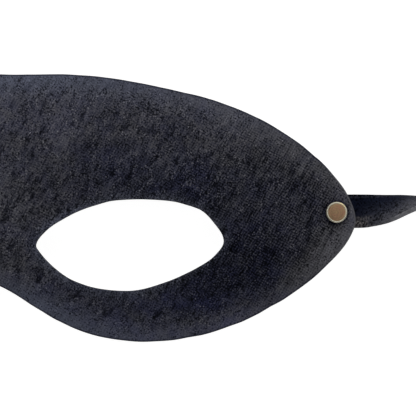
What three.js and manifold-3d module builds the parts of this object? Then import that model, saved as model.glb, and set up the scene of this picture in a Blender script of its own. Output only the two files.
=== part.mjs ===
// Half-face leather mask with two riveted tie straps, lying face up.
// Units are millimetres, +Z is up, and +X points to the mask's right tip as seen from above.
// The origin is on the surface that the mask lies on, below the middle of the leather's outline.
import * as THREE from 'three';
import { mergeVertices } from 'three/addons/utils/BufferGeometryUtils.js';
import Module from 'manifold-3d';

// Leather of the mask: its thickness and the points that its outline passes through.
const LEATHER = 2.0;
const TIP = { x: 105.6, y: -3.6 };
const BROW_MIDDLE = { x: 0, y: 37.9 };
const BROW_SHOULDER = { x: 59.6, y: 32.2 };
const CHEEK = { x: 46.1, y: -37.95 };
const NOSE_NOTCH = { x: 0, y: -20.9 };

// Eye hole on the +X side: its inner corner, its top, its outer end and its bottom.
const EYE_CORNER = { x: 15.6, y: -11.2 };
const EYE_TOP = { x: 45.0, y: 2.5 };
const EYE_END = { x: 68.1, y: -9.6 };
const EYE_BOTTOM = { x: 40.8, y: -23.5 };

// The shallow dome that the leather is formed into, measured on its underside. The dome's crown is
// flat across the bridge, and the lower edges of the brow and the cheeks rest on the surface.
const DOME_RISE = 7.0;
const DOME_CROWN = 6.8;
const DOME_MIDDLE_Y = -1.0;
const DOME_HALF_LENGTH = 140.0;
const DOME_HALF_HEIGHT = 39.5;

// Rivets: a post with a back cap below, a front cap above, and a seat pressed flat round them.
const RIVET = { x: 100.2, y: -1.2 };
const SEAT_Z = 3.4;
const SEAT_RADIUS = 5.0;
const SEAT_BLEND = 7.0;
const CAP_RADIUS = 3.0;
const CAP_FACE_RADIUS = 2.55;
const CAP_RISE = 1.6;
const CAP_RIM = 0.9;
const BACK_CAP_RISE = 1.0;
const BACK_CAP_CHAMFER = 0.3;
const POST_RADIUS = 1.4;
const HOLE_RADIUS = 1.7;
const GAP = 0.2;

// Straps: flat leather, lapped behind the tips, running free and then wound into a loose coil on edge.
const STRAP_WIDTH = 9.5;
const STRAP_THICKNESS = 1.5;
const COIL_X = 156.0;
const COIL_RADIUS = 27.0;
const COIL_PITCH = 3.7;
const COIL_LENGTH = 249.0;

// Centre line of the +X strap up to its coil: x, y, z and the turn of its face about that line.
// At 0 degrees the face looks up. At 90 degrees the strap stands on edge and the face looks along +Y.
const STRAP_ROUTE = [
  { x: 88.0, y: -0.9, z: 2.45, turn: 0 },
  { x: 92.0, y: -0.9, z: 2.45, turn: 0 },
  { x: 96.0, y: -0.9, z: 2.45, turn: 0 },
  { x: 100.0, y: -0.9, z: 2.45, turn: 0 },
  { x: 103.2, y: -0.9, z: 2.4, turn: 1 },
  { x: 105.4, y: -0.9, z: 2.1, turn: 6 },
  { x: 107.9, y: -0.88, z: 2.04, turn: 12.5 },
  { x: 110.2, y: -0.73, z: 2.66, turn: 24.5 },
  { x: 112.4, y: -0.54, z: 3.21, turn: 32.6 },
  { x: 114.7, y: -0.24, z: 3.7, turn: 41.1 },
  { x: 117.0, y: 0.25, z: 4.17, turn: 50.7 },
  { x: 119.2, y: 0.78, z: 4.5, turn: 59.5 },
  { x: 121.5, y: 1.25, z: 4.72, turn: 68 },
  { x: 124.0, y: 1.71, z: 4.82, turn: 76 },
  { x: 127.0, y: 2.22, z: 4.83, turn: 83 },
  { x: 130.0, y: 2.59, z: 4.8, turn: 88 },
  { x: 134.0, y: 2.7, z: 4.77, turn: 90 },
  { x: 139.0, y: 2.7, z: 4.76, turn: 90 },
  { x: 146.4, y: 2.7, z: 4.76, turn: 90 },
];

// Fineness of the meshes.
const SLAB = { length: 213.0, height: 77.0, cellsX: 42, cellsY: 18 };
const CUTTER_HEIGHT = 40.0;
const CURVE_STEPS = 16;
const ROUND_STEPS = 32;
const COIL_STEPS = 48;
const STRAP_STEPS = 36;

const wasm = await Module();
wasm.setup();

const maskLeather = new THREE.MeshStandardMaterial({ color: 0x2b2c33, roughness: 0.85, metalness: 0 });
const strapLeather = new THREE.MeshStandardMaterial({ color: 0x1d1e26, roughness: 0.6, metalness: 0 });
const antiqueBrass = new THREE.MeshStandardMaterial({ color: 0x8a6f52, roughness: 0.4, metalness: 1 });

// A closed geometry as a solid that can be joined and cut, and the way back.
function solidOf(geometry) {
  const bare = geometry.clone();
  bare.deleteAttribute('normal');
  bare.deleteAttribute('uv');
  const merged = mergeVertices(bare);
  const vertProperties = new Float32Array(merged.attributes.position.array);
  const triVerts = new Uint32Array(merged.index.array);
  return new wasm.Manifold(new wasm.Mesh({ numProp: 3, vertProperties, triVerts }));
}

function geometryOf(solid) {
  const mesh = solid.getMesh();
  const geometry = new THREE.BufferGeometry();
  geometry.setAttribute('position', new THREE.BufferAttribute(mesh.vertProperties, 3));
  geometry.setIndex(new THREE.BufferAttribute(mesh.triVerts, 1));
  geometry.computeVertexNormals();
  return geometry;
}

// Moves each corner of a geometry to where the given function puts it.
function bend(geometry, place) {
  const corners = geometry.attributes.position;
  const corner = new THREE.Vector3();
  for (let i = 0; i < corners.count; i += 1) {
    place(corner.fromBufferAttribute(corners, i));
    corners.setXYZ(i, corner.x, corner.y, corner.z);
  }
  return geometry;
}

// The same geometry on the -X side, with its faces turned out again.
function mirrored(geometry) {
  const copy = geometry.clone().scale(-1, 1, 1);
  const corners = copy.index.array;
  for (let i = 0; i < corners.length; i += 3) {
    [corners[i], corners[i + 1]] = [corners[i + 1], corners[i]];
  }
  return copy;
}

// Height of the leather's underside above the surface that the mask lies on.
function undersideHeight(x, y) {
  const across = x / DOME_HALF_LENGTH;
  const along = (y - DOME_MIDDLE_Y) / DOME_HALF_HEIGHT;
  const dome = DOME_RISE * (1 - across * across - along * along);
  const fromRivet = Math.hypot(Math.abs(x) - RIVET.x, y - RIVET.y);
  const free = THREE.MathUtils.smoothstep(fromRivet, SEAT_RADIUS, SEAT_RADIUS + SEAT_BLEND);
  return THREE.MathUtils.lerp(SEAT_Z, Math.min(dome, DOME_CROWN), free);
}

// Half of the outline, from the middle of the brow round the tip to the nose notch. Each curve has
// its start, two handles and its end.
const OUTLINE = [
  [BROW_MIDDLE, { x: 31.2, y: BROW_MIDDLE.y }, { x: 30.4, y: 38.9 }, BROW_SHOULDER],
  [BROW_SHOULDER, { x: 85.4, y: 26.3 }, { x: TIP.x, y: 7.6 }, TIP],
  [TIP, { x: TIP.x, y: -12.2 }, { x: 79.0, y: CHEEK.y }, CHEEK],
  [CHEEK, { x: 18.9, y: CHEEK.y }, { x: 11.1, y: NOSE_NOTCH.y }, NOSE_NOTCH],
];

const EYE = [
  [EYE_CORNER, { x: 14.0, y: -8.3 }, { x: 26.1, y: EYE_TOP.y }, EYE_TOP],
  [EYE_TOP, { x: 67.0, y: EYE_TOP.y }, { x: EYE_END.x, y: -8.5 }, EYE_END],
  [EYE_END, { x: EYE_END.x, y: -14.9 }, { x: 49.2, y: EYE_BOTTOM.y }, EYE_BOTTOM],
  [EYE_BOTTOM, { x: 27.4, y: EYE_BOTTOM.y }, { x: 20.0, y: -17.9 }, EYE_CORNER],
];

// Adds a run of curves to a path. With side -1 they are mirrored to the -X side.
function follow(path, curves, side) {
  for (const [, first, second, end] of curves) {
    path.bezierCurveTo(side * first.x, first.y, side * second.x, second.y, side * end.x, end.y);
  }
}

function maskOutline() {
  const shape = new THREE.Shape();
  shape.moveTo(BROW_MIDDLE.x, BROW_MIDDLE.y);
  follow(shape, OUTLINE, -1);
  const backwards = OUTLINE.map((curve) => curve.toReversed()).toReversed();
  follow(shape, backwards, 1);
  for (const side of [1, -1]) {
    const eye = new THREE.Path();
    eye.moveTo(side * EYE_CORNER.x, EYE_CORNER.y);
    follow(eye, EYE, side);
    shape.holes.push(eye);
  }
  return shape;
}

// A round punch that makes the rivet's hole.
function punch(side) {
  const tool = new THREE.CylinderGeometry(HOLE_RADIUS, HOLE_RADIUS, CUTTER_HEIGHT, ROUND_STEPS);
  return solidOf(tool.rotateX(Math.PI / 2).translate(side * RIVET.x, RIVET.y, 0));
}

// The leather: a slab bent into the dome, cut along the outline, punched and set down.
function maskGeometry() {
  const slab = new THREE.BoxGeometry(SLAB.length, SLAB.height, LEATHER, SLAB.cellsX, SLAB.cellsY, 1);
  slab.translate(0, 0, LEATHER / 2);
  bend(slab, (corner) => {
    corner.z += undersideHeight(corner.x, corner.y);
  });
  const cutter = new THREE.ExtrudeGeometry(maskOutline(), {
    depth: CUTTER_HEIGHT,
    curveSegments: CURVE_STEPS,
    bevelEnabled: false,
  });
  cutter.translate(0, 0, -CUTTER_HEIGHT / 2);
  const blank = solidOf(slab).intersect(solidOf(cutter));
  const leather = geometryOf(blank.subtract(punch(1)).subtract(punch(-1)));
  leather.computeBoundingBox();
  return leather.translate(0, 0, -leather.boundingBox.min.z);
}

// The free stretch of the +X strap: a straight strip laid along its route and turned on the way, with
// the hole for the rivet post.
function strapGeometry() {
  const last = STRAP_ROUTE.length - 1;
  const line = new THREE.CatmullRomCurve3(STRAP_ROUTE.map((p) => new THREE.Vector3(p.x, p.y, p.z)));
  const turns = new THREE.SplineCurve(STRAP_ROUTE.map((p, i) => new THREE.Vector2(i / last, p.turn)));
  const strip = new THREE.BoxGeometry(1, STRAP_WIDTH, STRAP_THICKNESS, STRAP_STEPS, 1, 1);
  bend(strip, (corner) => {
    const share = corner.x + 0.5;
    const forward = line.getTangent(share);
    const turn = THREE.MathUtils.degToRad(turns.getPoint(share).y);
    const level = new THREE.Vector3(-forward.y, forward.x, 0).normalize();
    const upright = new THREE.Vector3().crossVectors(forward, level);
    const across = level.clone().multiplyScalar(Math.cos(turn)).addScaledVector(upright, -Math.sin(turn));
    const face = new THREE.Vector3().crossVectors(forward, across);
    const { y, z } = corner;
    corner.copy(line.getPoint(share)).addScaledVector(across, y).addScaledVector(face, z);
  });
  return geometryOf(solidOf(strip).subtract(punch(1)));
}

// A turned shape about the upright axis, from its profile of radius and height.
function turned(profile, steps) {
  const points = profile.map(([radius, height]) => new THREE.Vector2(radius, height));
  return new THREE.LatheGeometry(points, steps).rotateX(Math.PI / 2);
}

// The wound part of a strap: a spiral of flat leather on edge, as one ring of its outer shape.
function coilGeometry() {
  const inner = Math.sqrt(COIL_RADIUS ** 2 - (COIL_PITCH * COIL_LENGTH) / Math.PI) - STRAP_THICKNESS / 2;
  const outer = COIL_RADIUS + STRAP_THICKNESS / 2;
  const profile = [[inner, 0], [outer, 0], [outer, STRAP_WIDTH], [inner, STRAP_WIDTH], [inner, 0]];
  return turned(profile, COIL_STEPS);
}

function frontCapGeometry() {
  const edge = (CAP_RADIUS + CAP_FACE_RADIUS) / 2;
  const shoulder = (CAP_RIM + CAP_RISE) / 2;
  return turned([
    [0, 0],
    [edge, 0],
    [CAP_RADIUS, BACK_CAP_CHAMFER],
    [CAP_RADIUS, CAP_RIM],
    [edge, shoulder + BACK_CAP_CHAMFER / 2],
    [CAP_FACE_RADIUS, CAP_RISE],
    [0, CAP_RISE],
  ], ROUND_STEPS);
}

// Heights of the rivet's parts, stacked through the strap and the seat of the mask.
const strapBottom = SEAT_Z - GAP - STRAP_THICKNESS;
const frontCapBottom = SEAT_Z + LEATHER + GAP;
const backCapBottom = strapBottom - GAP - BACK_CAP_RISE;

function postGeometry() {
  const top = frontCapBottom - GAP - backCapBottom;
  return turned([
    [0, 0],
    [CAP_RADIUS - BACK_CAP_CHAMFER, 0],
    [CAP_RADIUS, BACK_CAP_CHAMFER],
    [CAP_RADIUS, BACK_CAP_RISE],
    [POST_RADIUS, BACK_CAP_RISE],
    [POST_RADIUS, top],
    [0, top],
  ], ROUND_STEPS);
}

function piece(name, geometry, material) {
  const mesh = new THREE.Mesh(geometry, material);
  mesh.name = name;
  return mesh;
}

const leatherMask = new THREE.Group();
leatherMask.add(piece('mask', maskGeometry(), maskLeather));

const rightStrap = strapGeometry();
const coilY = STRAP_ROUTE.at(-1).y - COIL_RADIUS;
for (const [end, side] of [['right', 1], ['left', -1]]) {
  const strap = piece(`strap_${end}`, side > 0 ? rightStrap : mirrored(rightStrap), strapLeather);
  const coil = piece(`strap_${end}_coil`, coilGeometry(), strapLeather);
  coil.position.set(side * COIL_X, coilY, 0);
  const cap = piece(`rivet_cap_${end}`, frontCapGeometry(), antiqueBrass);
  cap.position.set(side * RIVET.x, RIVET.y, frontCapBottom);
  const post = piece(`rivet_post_${end}`, postGeometry(), antiqueBrass);
  post.position.set(side * RIVET.x, RIVET.y, backCapBottom);
  leatherMask.add(strap, coil, cap, post);
}

export default leatherMask;
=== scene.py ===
"""A black leather half-face mask with two riveted tie straps, lying face up on a pale floor."""
import math

import bpy
import numpy as np
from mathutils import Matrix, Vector, geometry, kdtree, noise


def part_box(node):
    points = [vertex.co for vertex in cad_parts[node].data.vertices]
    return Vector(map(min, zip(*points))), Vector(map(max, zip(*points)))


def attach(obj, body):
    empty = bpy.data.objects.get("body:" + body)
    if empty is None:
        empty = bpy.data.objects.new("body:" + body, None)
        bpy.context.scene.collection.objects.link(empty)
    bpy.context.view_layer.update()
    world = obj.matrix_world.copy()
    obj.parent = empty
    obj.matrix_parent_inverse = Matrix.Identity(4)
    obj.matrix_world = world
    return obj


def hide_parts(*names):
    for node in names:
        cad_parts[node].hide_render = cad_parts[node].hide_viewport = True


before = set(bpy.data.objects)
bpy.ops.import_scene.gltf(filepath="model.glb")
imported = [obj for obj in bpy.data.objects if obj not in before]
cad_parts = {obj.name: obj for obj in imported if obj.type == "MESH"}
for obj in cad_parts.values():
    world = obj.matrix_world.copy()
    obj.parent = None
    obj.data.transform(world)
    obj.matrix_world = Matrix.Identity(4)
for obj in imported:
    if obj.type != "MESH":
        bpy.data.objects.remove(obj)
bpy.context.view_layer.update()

# Camera: the photograph looks straight down on the right half of the mask. The middle of the nose
# lies just outside its left edge, and the strap runs out of its right edge.
PHOTO_PIXELS = 416
METRES_PER_PIXEL = 0.0002825
NOSE_PIXEL_X = -18.0
ORIGIN_PIXEL_Y = 208.05
CAMERA_HEIGHT = 0.9
LEATHER_LEVEL = 0.006
SENSOR_WIDTH = 36.0

photo_camera = bpy.data.cameras.new("photo_camera")
photo_camera.sensor_width = SENSOR_WIDTH
photo_camera.lens = SENSOR_WIDTH * CAMERA_HEIGHT / (PHOTO_PIXELS * METRES_PER_PIXEL)
photo_camera.clip_start = 0.05
photo_camera.clip_end = 20.0
camera = bpy.data.objects.new("photo_camera", photo_camera)
camera.location = (
    (PHOTO_PIXELS / 2 - NOSE_PIXEL_X) * METRES_PER_PIXEL,
    (ORIGIN_PIXEL_Y - PHOTO_PIXELS / 2) * METRES_PER_PIXEL,
    LEATHER_LEVEL + CAMERA_HEIGHT,
)
bpy.context.scene.collection.objects.link(camera)
bpy.context.scene.camera = camera


# Tie straps: each is a flat strip of smooth, satin black leather. It is riveted behind a tip, turns
# on edge as it leaves the mask, and the rest of its length is wound into a loose coil on edge.
STRAP_WIDTH = 0.0095
STRAP_THICKNESS = 0.0015
STRAP_CORNER = 0.00028
STRAP_STEP = 0.0011
COIL_X = 0.156
COIL_RADIUS = 0.027
COIL_PITCH = 0.0037
COIL_LENGTH = 0.249
COIL_STEPS = 150
STRAP_BLACK = (0.0090, 0.0113, 0.0250, 1)
# Painted light on the strap's lower side, paler still where it twists up to face the lamps.
STRAP_PAINTED_LIGHT = (0.059, 0.062, 0.084, 1)
STRAP_PAINTED_LIGHT_AT_TWIST = (0.092, 0.092, 0.110, 1)
STRAP_SCUFFED = (0.230, 0.215, 0.215, 1)
STRAP_CUT = (0.185, 0.185, 0.205, 1)
# Painted light on the cut side after the twist.
STRAP_CUT_LIT = (0.30, 0.30, 0.325, 1)
STRAP_SHEEN = (0.52, 0.70, 1.0, 1)
BLACK = (0, 0, 0, 1)
CORNER_POINTS = 3
SECTION_CUTS = 3
GRAIN_STREAK = (1.0, 0.38, 1.0)
GRAIN_SWAY_SIZE = 0.003
GRAIN_SWAY = 10.0
GRAIN_PATCH = 0.0028
SPECK_SPACING = 0.0014
DARKEST_GRAIN = 0.05
STRAP_ROUTE = [
    (0.0880, -0.00090, 0.00245, 0),
    (0.0920, -0.00090, 0.00245, 0),
    (0.0960, -0.00090, 0.00245, 0),
    (0.1000, -0.00090, 0.00245, 0),
    (0.1032, -0.00090, 0.00240, 1),
    (0.1054, -0.00090, 0.00210, 6),
    (0.1079, -0.00088, 0.00204, 12.5),
    (0.1102, -0.00073, 0.00266, 24.5),
    (0.1124, -0.00054, 0.00321, 32.6),
    (0.1147, -0.00024, 0.00370, 41.1),
    (0.1170, 0.00025, 0.00417, 50.7),
    (0.1192, 0.00078, 0.00450, 59.5),
    (0.1215, 0.00125, 0.00472, 68),
    (0.1240, 0.00171, 0.00482, 76),
    (0.1270, 0.00222, 0.00483, 83),
    (0.1300, 0.00259, 0.00480, 88),
    (0.1340, 0.00270, 0.00477, 90),
    (0.1390, 0.00270, 0.00476, 90),
    (0.1464, 0.00270, 0.00476, 90),
]


def between(before, start, end, after, share):
    """A point on the smooth curve from start to end, which leans on its two neighbours."""
    return 0.5 * (
        2 * start
        + (end - before) * share
        + (2 * before - 5 * start + 4 * end - after) * share**2
        + (3 * start - before - 3 * end + after) * share**3
    )


def strap_line():
    """Centre line of the right strap: place and turn in degrees, from its lapped end to its tip."""
    top = STRAP_ROUTE[-1]
    route = np.array(STRAP_ROUTE + [(COIL_X, *top[1:])])
    ends = np.vstack([2 * route[0] - route[1], route, 2 * route[-1] - route[-2]])
    rows = []
    for i in range(1, len(ends) - 2):
        length = np.linalg.norm(ends[i + 1][:3] - ends[i][:3])
        steps = max(2, round(length / STRAP_STEP))
        rows += [between(*ends[i - 1 : i + 3], step / steps) for step in range(steps)]
    turns = (COIL_RADIUS - math.sqrt(COIL_RADIUS**2 - COIL_PITCH * COIL_LENGTH / math.pi)) / COIL_PITCH
    for step in range(COIL_STEPS + 1):
        wound = turns * step / COIL_STEPS
        radius = COIL_RADIUS - COIL_PITCH * wound
        angle = math.pi / 2 - 2 * math.pi * wound
        x = COIL_X + radius * math.cos(angle)
        y = top[1] - COIL_RADIUS + radius * math.sin(angle)
        rows.append(np.array((x, y, top[2], top[3])))
    return np.array(rows)


def node_tree(name, kind, inputs, outputs):
    """A node group with named sockets, and its input and output nodes."""
    tree = bpy.data.node_groups.new(name, kind)
    for socket, socket_type, value in inputs:
        made = tree.interface.new_socket(socket, in_out="INPUT", socket_type=socket_type)
        if value is not None:
            made.default_value = value
    for socket, socket_type in outputs:
        tree.interface.new_socket(socket, in_out="OUTPUT", socket_type=socket_type)
    return tree, tree.nodes.new("NodeGroupInput"), tree.nodes.new("NodeGroupOutput")


def feed(tree, socket, value):
    """Gives a socket another socket's value, or a number or colour of its own."""
    if isinstance(value, bpy.types.NodeSocket):
        tree.links.new(value, socket)
    else:
        socket.default_value = value


def calc(tree, operation, *values):
    """One sum in a node tree. Each value is a socket or a number."""
    made = tree.nodes.new("ShaderNodeMath")
    made.operation = operation
    for socket, value in zip(made.inputs, values):
        feed(tree, socket, value)
    return made.outputs[0]


def eased(tree, value, start, end, low=0.0, high=1.0):
    """The value turned into low up to start, high from end on, and a soft step between them."""
    made = tree.nodes.new("ShaderNodeMapRange")
    made.interpolation_type = "SMOOTHSTEP"
    feed(tree, made.inputs["Value"], value)
    feed(tree, made.inputs["From Min"], start)
    feed(tree, made.inputs["From Max"], end)
    feed(tree, made.inputs["To Min"], low)
    feed(tree, made.inputs["To Max"], high)
    return made.outputs["Result"]


def faded(tree, value, by, start, end, low=0.0, high=1.0):
    """The value times a share that eases from low to high while another goes from start to end."""
    return calc(tree, "MULTIPLY", value, eased(tree, by, start, end, low, high))


def shifted(tree, value, by, start, end, low=0.0, high=1.0):
    """The value plus an amount that eases from low to high while another goes from start to end."""
    return calc(tree, "ADD", value, eased(tree, by, start, end, low, high))


def blended(tree, share, first, second):
    """A colour between the first and the second."""
    made = tree.nodes.new("ShaderNodeMix")
    made.data_type = "RGBA"
    feed(tree, made.inputs[0], share)
    feed(tree, made.inputs[6], first)
    feed(tree, made.inputs[7], second)
    return made.outputs[2]


def cloudy(tree, vector, size, detail, seed):
    """Soft noise about 0.5, whose patches are about the given size in metres."""
    made = tree.nodes.new("ShaderNodeTexNoise")
    made.noise_dimensions = "4D"
    feed(tree, made.inputs["Vector"], vector)
    feed(tree, made.inputs["W"], seed)
    if isinstance(size, bpy.types.NodeSocket):
        feed(tree, made.inputs["Scale"], calc(tree, "DIVIDE", 1.0, size))
    else:
        feed(tree, made.inputs["Scale"], 1.0 / size)
    feed(tree, made.inputs["Detail"], detail)
    feed(tree, made.inputs["Roughness"], 0.6)
    return made.outputs["Fac"]


def separate(tree, vector):
    """The three parts of a vector."""
    made = tree.nodes.new("ShaderNodeSeparateXYZ")
    feed(tree, made.inputs["Vector"], vector)
    return made.outputs


def stored(tree, name, output="Fac"):
    """A value kept on the points of the mesh, read in a material."""
    made = tree.nodes.new("ShaderNodeAttribute")
    made.attribute_name = name
    return made.outputs[output]


def placed(tree, group, **values):
    """A shared group placed in a material, with this material's own values."""
    made = tree.nodes.new("ShaderNodeGroup")
    made.node_tree = group
    for name, value in values.items():
        feed(tree, made.inputs[name.replace("_", " ")], value)
    return made.outputs


def new_finish(name):
    """A material with only a shader in it: the material, its tree and the shader."""
    finish = bpy.data.materials.new(name)
    finish.use_nodes = True
    return finish, finish.node_tree, finish.node_tree.nodes["Principled BSDF"]


def raised(tree, height, depth, strength):
    """The normal of a surface with this fine relief, whose depth is in metres."""
    made = tree.nodes.new("ShaderNodeBump")
    feed(tree, made.inputs["Height"], height)
    feed(tree, made.inputs["Distance"], depth)
    feed(tree, made.inputs["Strength"], strength)
    return made.outputs["Normal"]


def leather_grain_group():
    """Grain of the leather: fine fibres over a faint cross grain, in streaky clumps, with dark creases
    and a few pale specks. It is sharper in some patches and softer in others."""
    tree, given, result = node_tree(
        "leather_grain",
        "ShaderNodeTree",
        [
            ("Vector", "NodeSocketVector", None),
            ("Grain Turn", "NodeSocketFloat", 0.0),
            ("Fibre Size", "NodeSocketFloat", 0.0005),
            ("Fibre Share", "NodeSocketFloat", 1.0),
            ("Clump Size", "NodeSocketFloat", 0.0016),
            ("Clump Share", "NodeSocketFloat", 0.2),
            ("Cross Pitch", "NodeSocketFloat", 0.00075),
            ("Cross Share", "NodeSocketFloat", 0.02),
            ("Crease Size", "NodeSocketFloat", 0.0011),
            ("Crease Depth", "NodeSocketFloat", 0.5),
            ("Speck Light", "NodeSocketFloat", 0.0),
            ("Contrast", "NodeSocketFloat", 10.0),
            ("Seed", "NodeSocketFloat", 1.0),
        ],
        [("Tone", "NodeSocketFloat"), ("Height", "NodeSocketFloat")],
    )
    size = given.outputs
    position = size["Vector"]
    seed = size["Seed"]
    turned = tree.nodes.new("ShaderNodeVectorRotate")
    turned.rotation_type = "Z_AXIS"
    feed(tree, turned.inputs["Vector"], position)
    feed(tree, turned.inputs["Angle"], size["Grain Turn"])
    drawn_out = tree.nodes.new("ShaderNodeVectorMath")
    drawn_out.operation = "MULTIPLY"
    feed(tree, drawn_out.inputs[0], turned.outputs["Vector"])
    drawn_out.inputs[1].default_value = GRAIN_STREAK
    streaks = drawn_out.outputs["Vector"]
    fibres = cloudy(tree, position, size["Fibre Size"], 2.0, seed)
    clumps = cloudy(tree, streaks, size["Clump Size"], 2.0, seed)
    sway = calc(tree, "MULTIPLY", cloudy(tree, position, GRAIN_SWAY_SIZE, 1.0, seed), GRAIN_SWAY)
    pitch = calc(tree, "DIVIDE", 2 * math.pi, size["Cross Pitch"])
    waves = []
    for axis in separate(tree, turned.outputs["Vector"])[:2]:
        waves.append(calc(tree, "SINE", calc(tree, "MULTIPLY_ADD", axis, pitch, sway)))
    cross = calc(tree, "MULTIPLY", calc(tree, "ADD", *waves), size["Cross Share"])
    patches = cloudy(tree, position, GRAIN_PATCH, 1.0, seed)
    folds = cloudy(tree, streaks, size["Crease Size"], 3.0, calc(tree, "ADD", seed, 1.0))
    creases = calc(tree, "MULTIPLY", eased(tree, folds, 0.33, 0.50, 1.0, 0.0), size["Crease Depth"])
    creases = faded(tree, creases, patches, 0.36, 0.62, 0.4, 1.0)
    fibres = calc(tree, "SUBTRACT", fibres, 0.5)
    sharper = calc(tree, "MULTIPLY_ADD", calc(tree, "MULTIPLY", fibres, fibres), 70.0, 0.48)
    sharper = calc(tree, "SUBTRACT", sharper, calc(tree, "MULTIPLY", fibres, 4.8))
    fibres = calc(tree, "MULTIPLY", fibres, faded(tree, sharper, patches, 0.36, 0.62, 0.48, 1.28))
    lift = calc(tree, "MULTIPLY_ADD", fibres, calc(tree, "MULTIPLY", size["Fibre Share"], 0.8), 0.5)
    clumps = calc(tree, "SUBTRACT", clumps, 0.5)
    lift = calc(tree, "ADD", lift, calc(tree, "MULTIPLY", clumps, size["Clump Share"]))
    lift = calc(tree, "ADD", lift, cross)
    tone = calc(tree, "MULTIPLY_ADD", calc(tree, "SUBTRACT", lift, 0.5), size["Contrast"], 1.0)
    tone = calc(tree, "MAXIMUM", tone, DARKEST_GRAIN)
    tone = calc(tree, "MULTIPLY", tone, calc(tree, "SUBTRACT", 1.0, creases))
    cells = tree.nodes.new("ShaderNodeTexVoronoi")
    feed(tree, cells.inputs["Vector"], position)
    feed(tree, cells.inputs["Scale"], 1 / SPECK_SPACING)
    rare = eased(tree, separate(tree, cells.outputs["Color"])[0], 0.88, 0.94)
    specks = faded(tree, rare, cells.outputs["Distance"], 0.04, 0.13, 1.0, 0.0)
    tone = calc(tree, "MULTIPLY_ADD", specks, size["Speck Light"], tone)
    feed(tree, result.inputs["Tone"], tone)
    height = calc(tree, "SUBTRACT", lift, calc(tree, "MULTIPLY", creases, 0.4))
    feed(tree, result.inputs["Height"], height)
    return tree


leather_grain = leather_grain_group()


def satin_leather_finish():
    """The straps' leather: smooth and black, scuffed near the mask, with painted light on its lower
    side where it twists. Along it, places are metres from its lapped end."""
    finish, tree, shader = new_finish("satin_black_leather")
    strip = stored(tree, "strip", "Vector")
    along, across, _ = separate(tree, strip)
    grain = placed(
        tree,
        leather_grain,
        Vector=strip,
        Grain_Turn=0.9,
        Fibre_Size=0.0005,
        Fibre_Share=eased(tree, along, 0.024, 0.040, 1.0, 0.55),
        Clump_Size=0.0022,
        Clump_Share=0.15,
        Cross_Pitch=0.0008,
        Cross_Share=0.01,
        Crease_Size=0.0015,
        Crease_Depth=eased(tree, along, 0.024, 0.040, 0.3, 0.08),
        Contrast=eased(tree, along, 0.036, 0.055, 9.0, 5.0),
        Seed=3.0,
    )
    # Painted light: paler toward the lower edge, where the strap twists up to face the lamps.
    spread = shifted(tree, across, along, 0.020, 0.034, 0.0, 0.0012)
    painted_light = eased(tree, spread, -0.0035, 0.0050)
    painted_light = faded(tree, painted_light, along, 0.014, 0.028)
    painted_light = faded(tree, painted_light, along, 0.040, 0.070, 1.0, 0.3)
    painted_light = faded(tree, painted_light, across, -0.0045, -0.0020, 0.15, 1.0)
    # Painted highlight: a pale line along the strap's upper edge, where its rounded corner faces the
    # lamps.
    edge_highlight = eased(tree, across, -0.0046, -0.0043)
    edge_highlight = faded(tree, edge_highlight, across, -0.0040, -0.0034, 0.4, 0.0)
    edge_highlight = faded(tree, edge_highlight, along, 0.025, 0.033, 1.0, 0.0)
    painted_light = calc(tree, "MAXIMUM", painted_light, edge_highlight)
    before_coil = eased(tree, along, 0.038, 0.060, 1.0, 0.0)
    low_side = faded(tree, eased(tree, across, 0.0005, 0.0034), along, 0.020, 0.026)
    at_twist = calc(tree, "MAXIMUM", eased(tree, along, 0.028, 0.034), low_side)
    at_twist = calc(tree, "MULTIPLY", at_twist, before_coil)
    paler = blended(tree, at_twist, STRAP_PAINTED_LIGHT, STRAP_PAINTED_LIGHT_AT_TWIST)
    colour = blended(tree, painted_light, STRAP_BLACK, paler)
    scuffs = eased(tree, cloudy(tree, strip, 0.0007, 2.0, 8.0), 0.48, 0.58, 0.32, 1.0)
    near_mask = eased(tree, along, 0.019, 0.024, 1.0, 0.0)
    near_mask = faded(tree, near_mask, across, 0.0012, 0.0026)
    scuffs = calc(tree, "MULTIPLY", scuffs, near_mask)
    colour = blended(tree, scuffs, colour, STRAP_SCUFFED)
    # The cut side is raw fibres, paler than the face; after the twist it is paler still, painted light
    # where it turns up to the lamps.
    raw = faded(tree, eased(tree, across, 0.00440, 0.00470), along, 0.021, 0.031)
    pale = faded(tree, before_coil, along, 0.0255, 0.0300)
    colour = blended(tree, raw, colour, blended(tree, pale, STRAP_CUT, STRAP_CUT_LIT))
    tone = faded(tree, grain["Tone"], raw, 0.0, 1.0, 0.7, 0.25)
    tone = shifted(tree, tone, raw, 0.0, 1.0, 0.0, 0.5)
    colour = blended(tree, tone, BLACK, colour)
    feed(tree, shader.inputs["Base Color"], colour)
    shader.inputs["Specular IOR Level"].default_value = 0.016
    shader.inputs["Specular Tint"].default_value = STRAP_SHEEN
    feed(tree, shader.inputs["Roughness"], eased(tree, grain["Tone"], 0.4, 1.8, 0.4, 0.52))
    feed(tree, shader.inputs["Normal"], raised(tree, grain["Height"], 0.00006, 0.6))
    return finish


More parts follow.
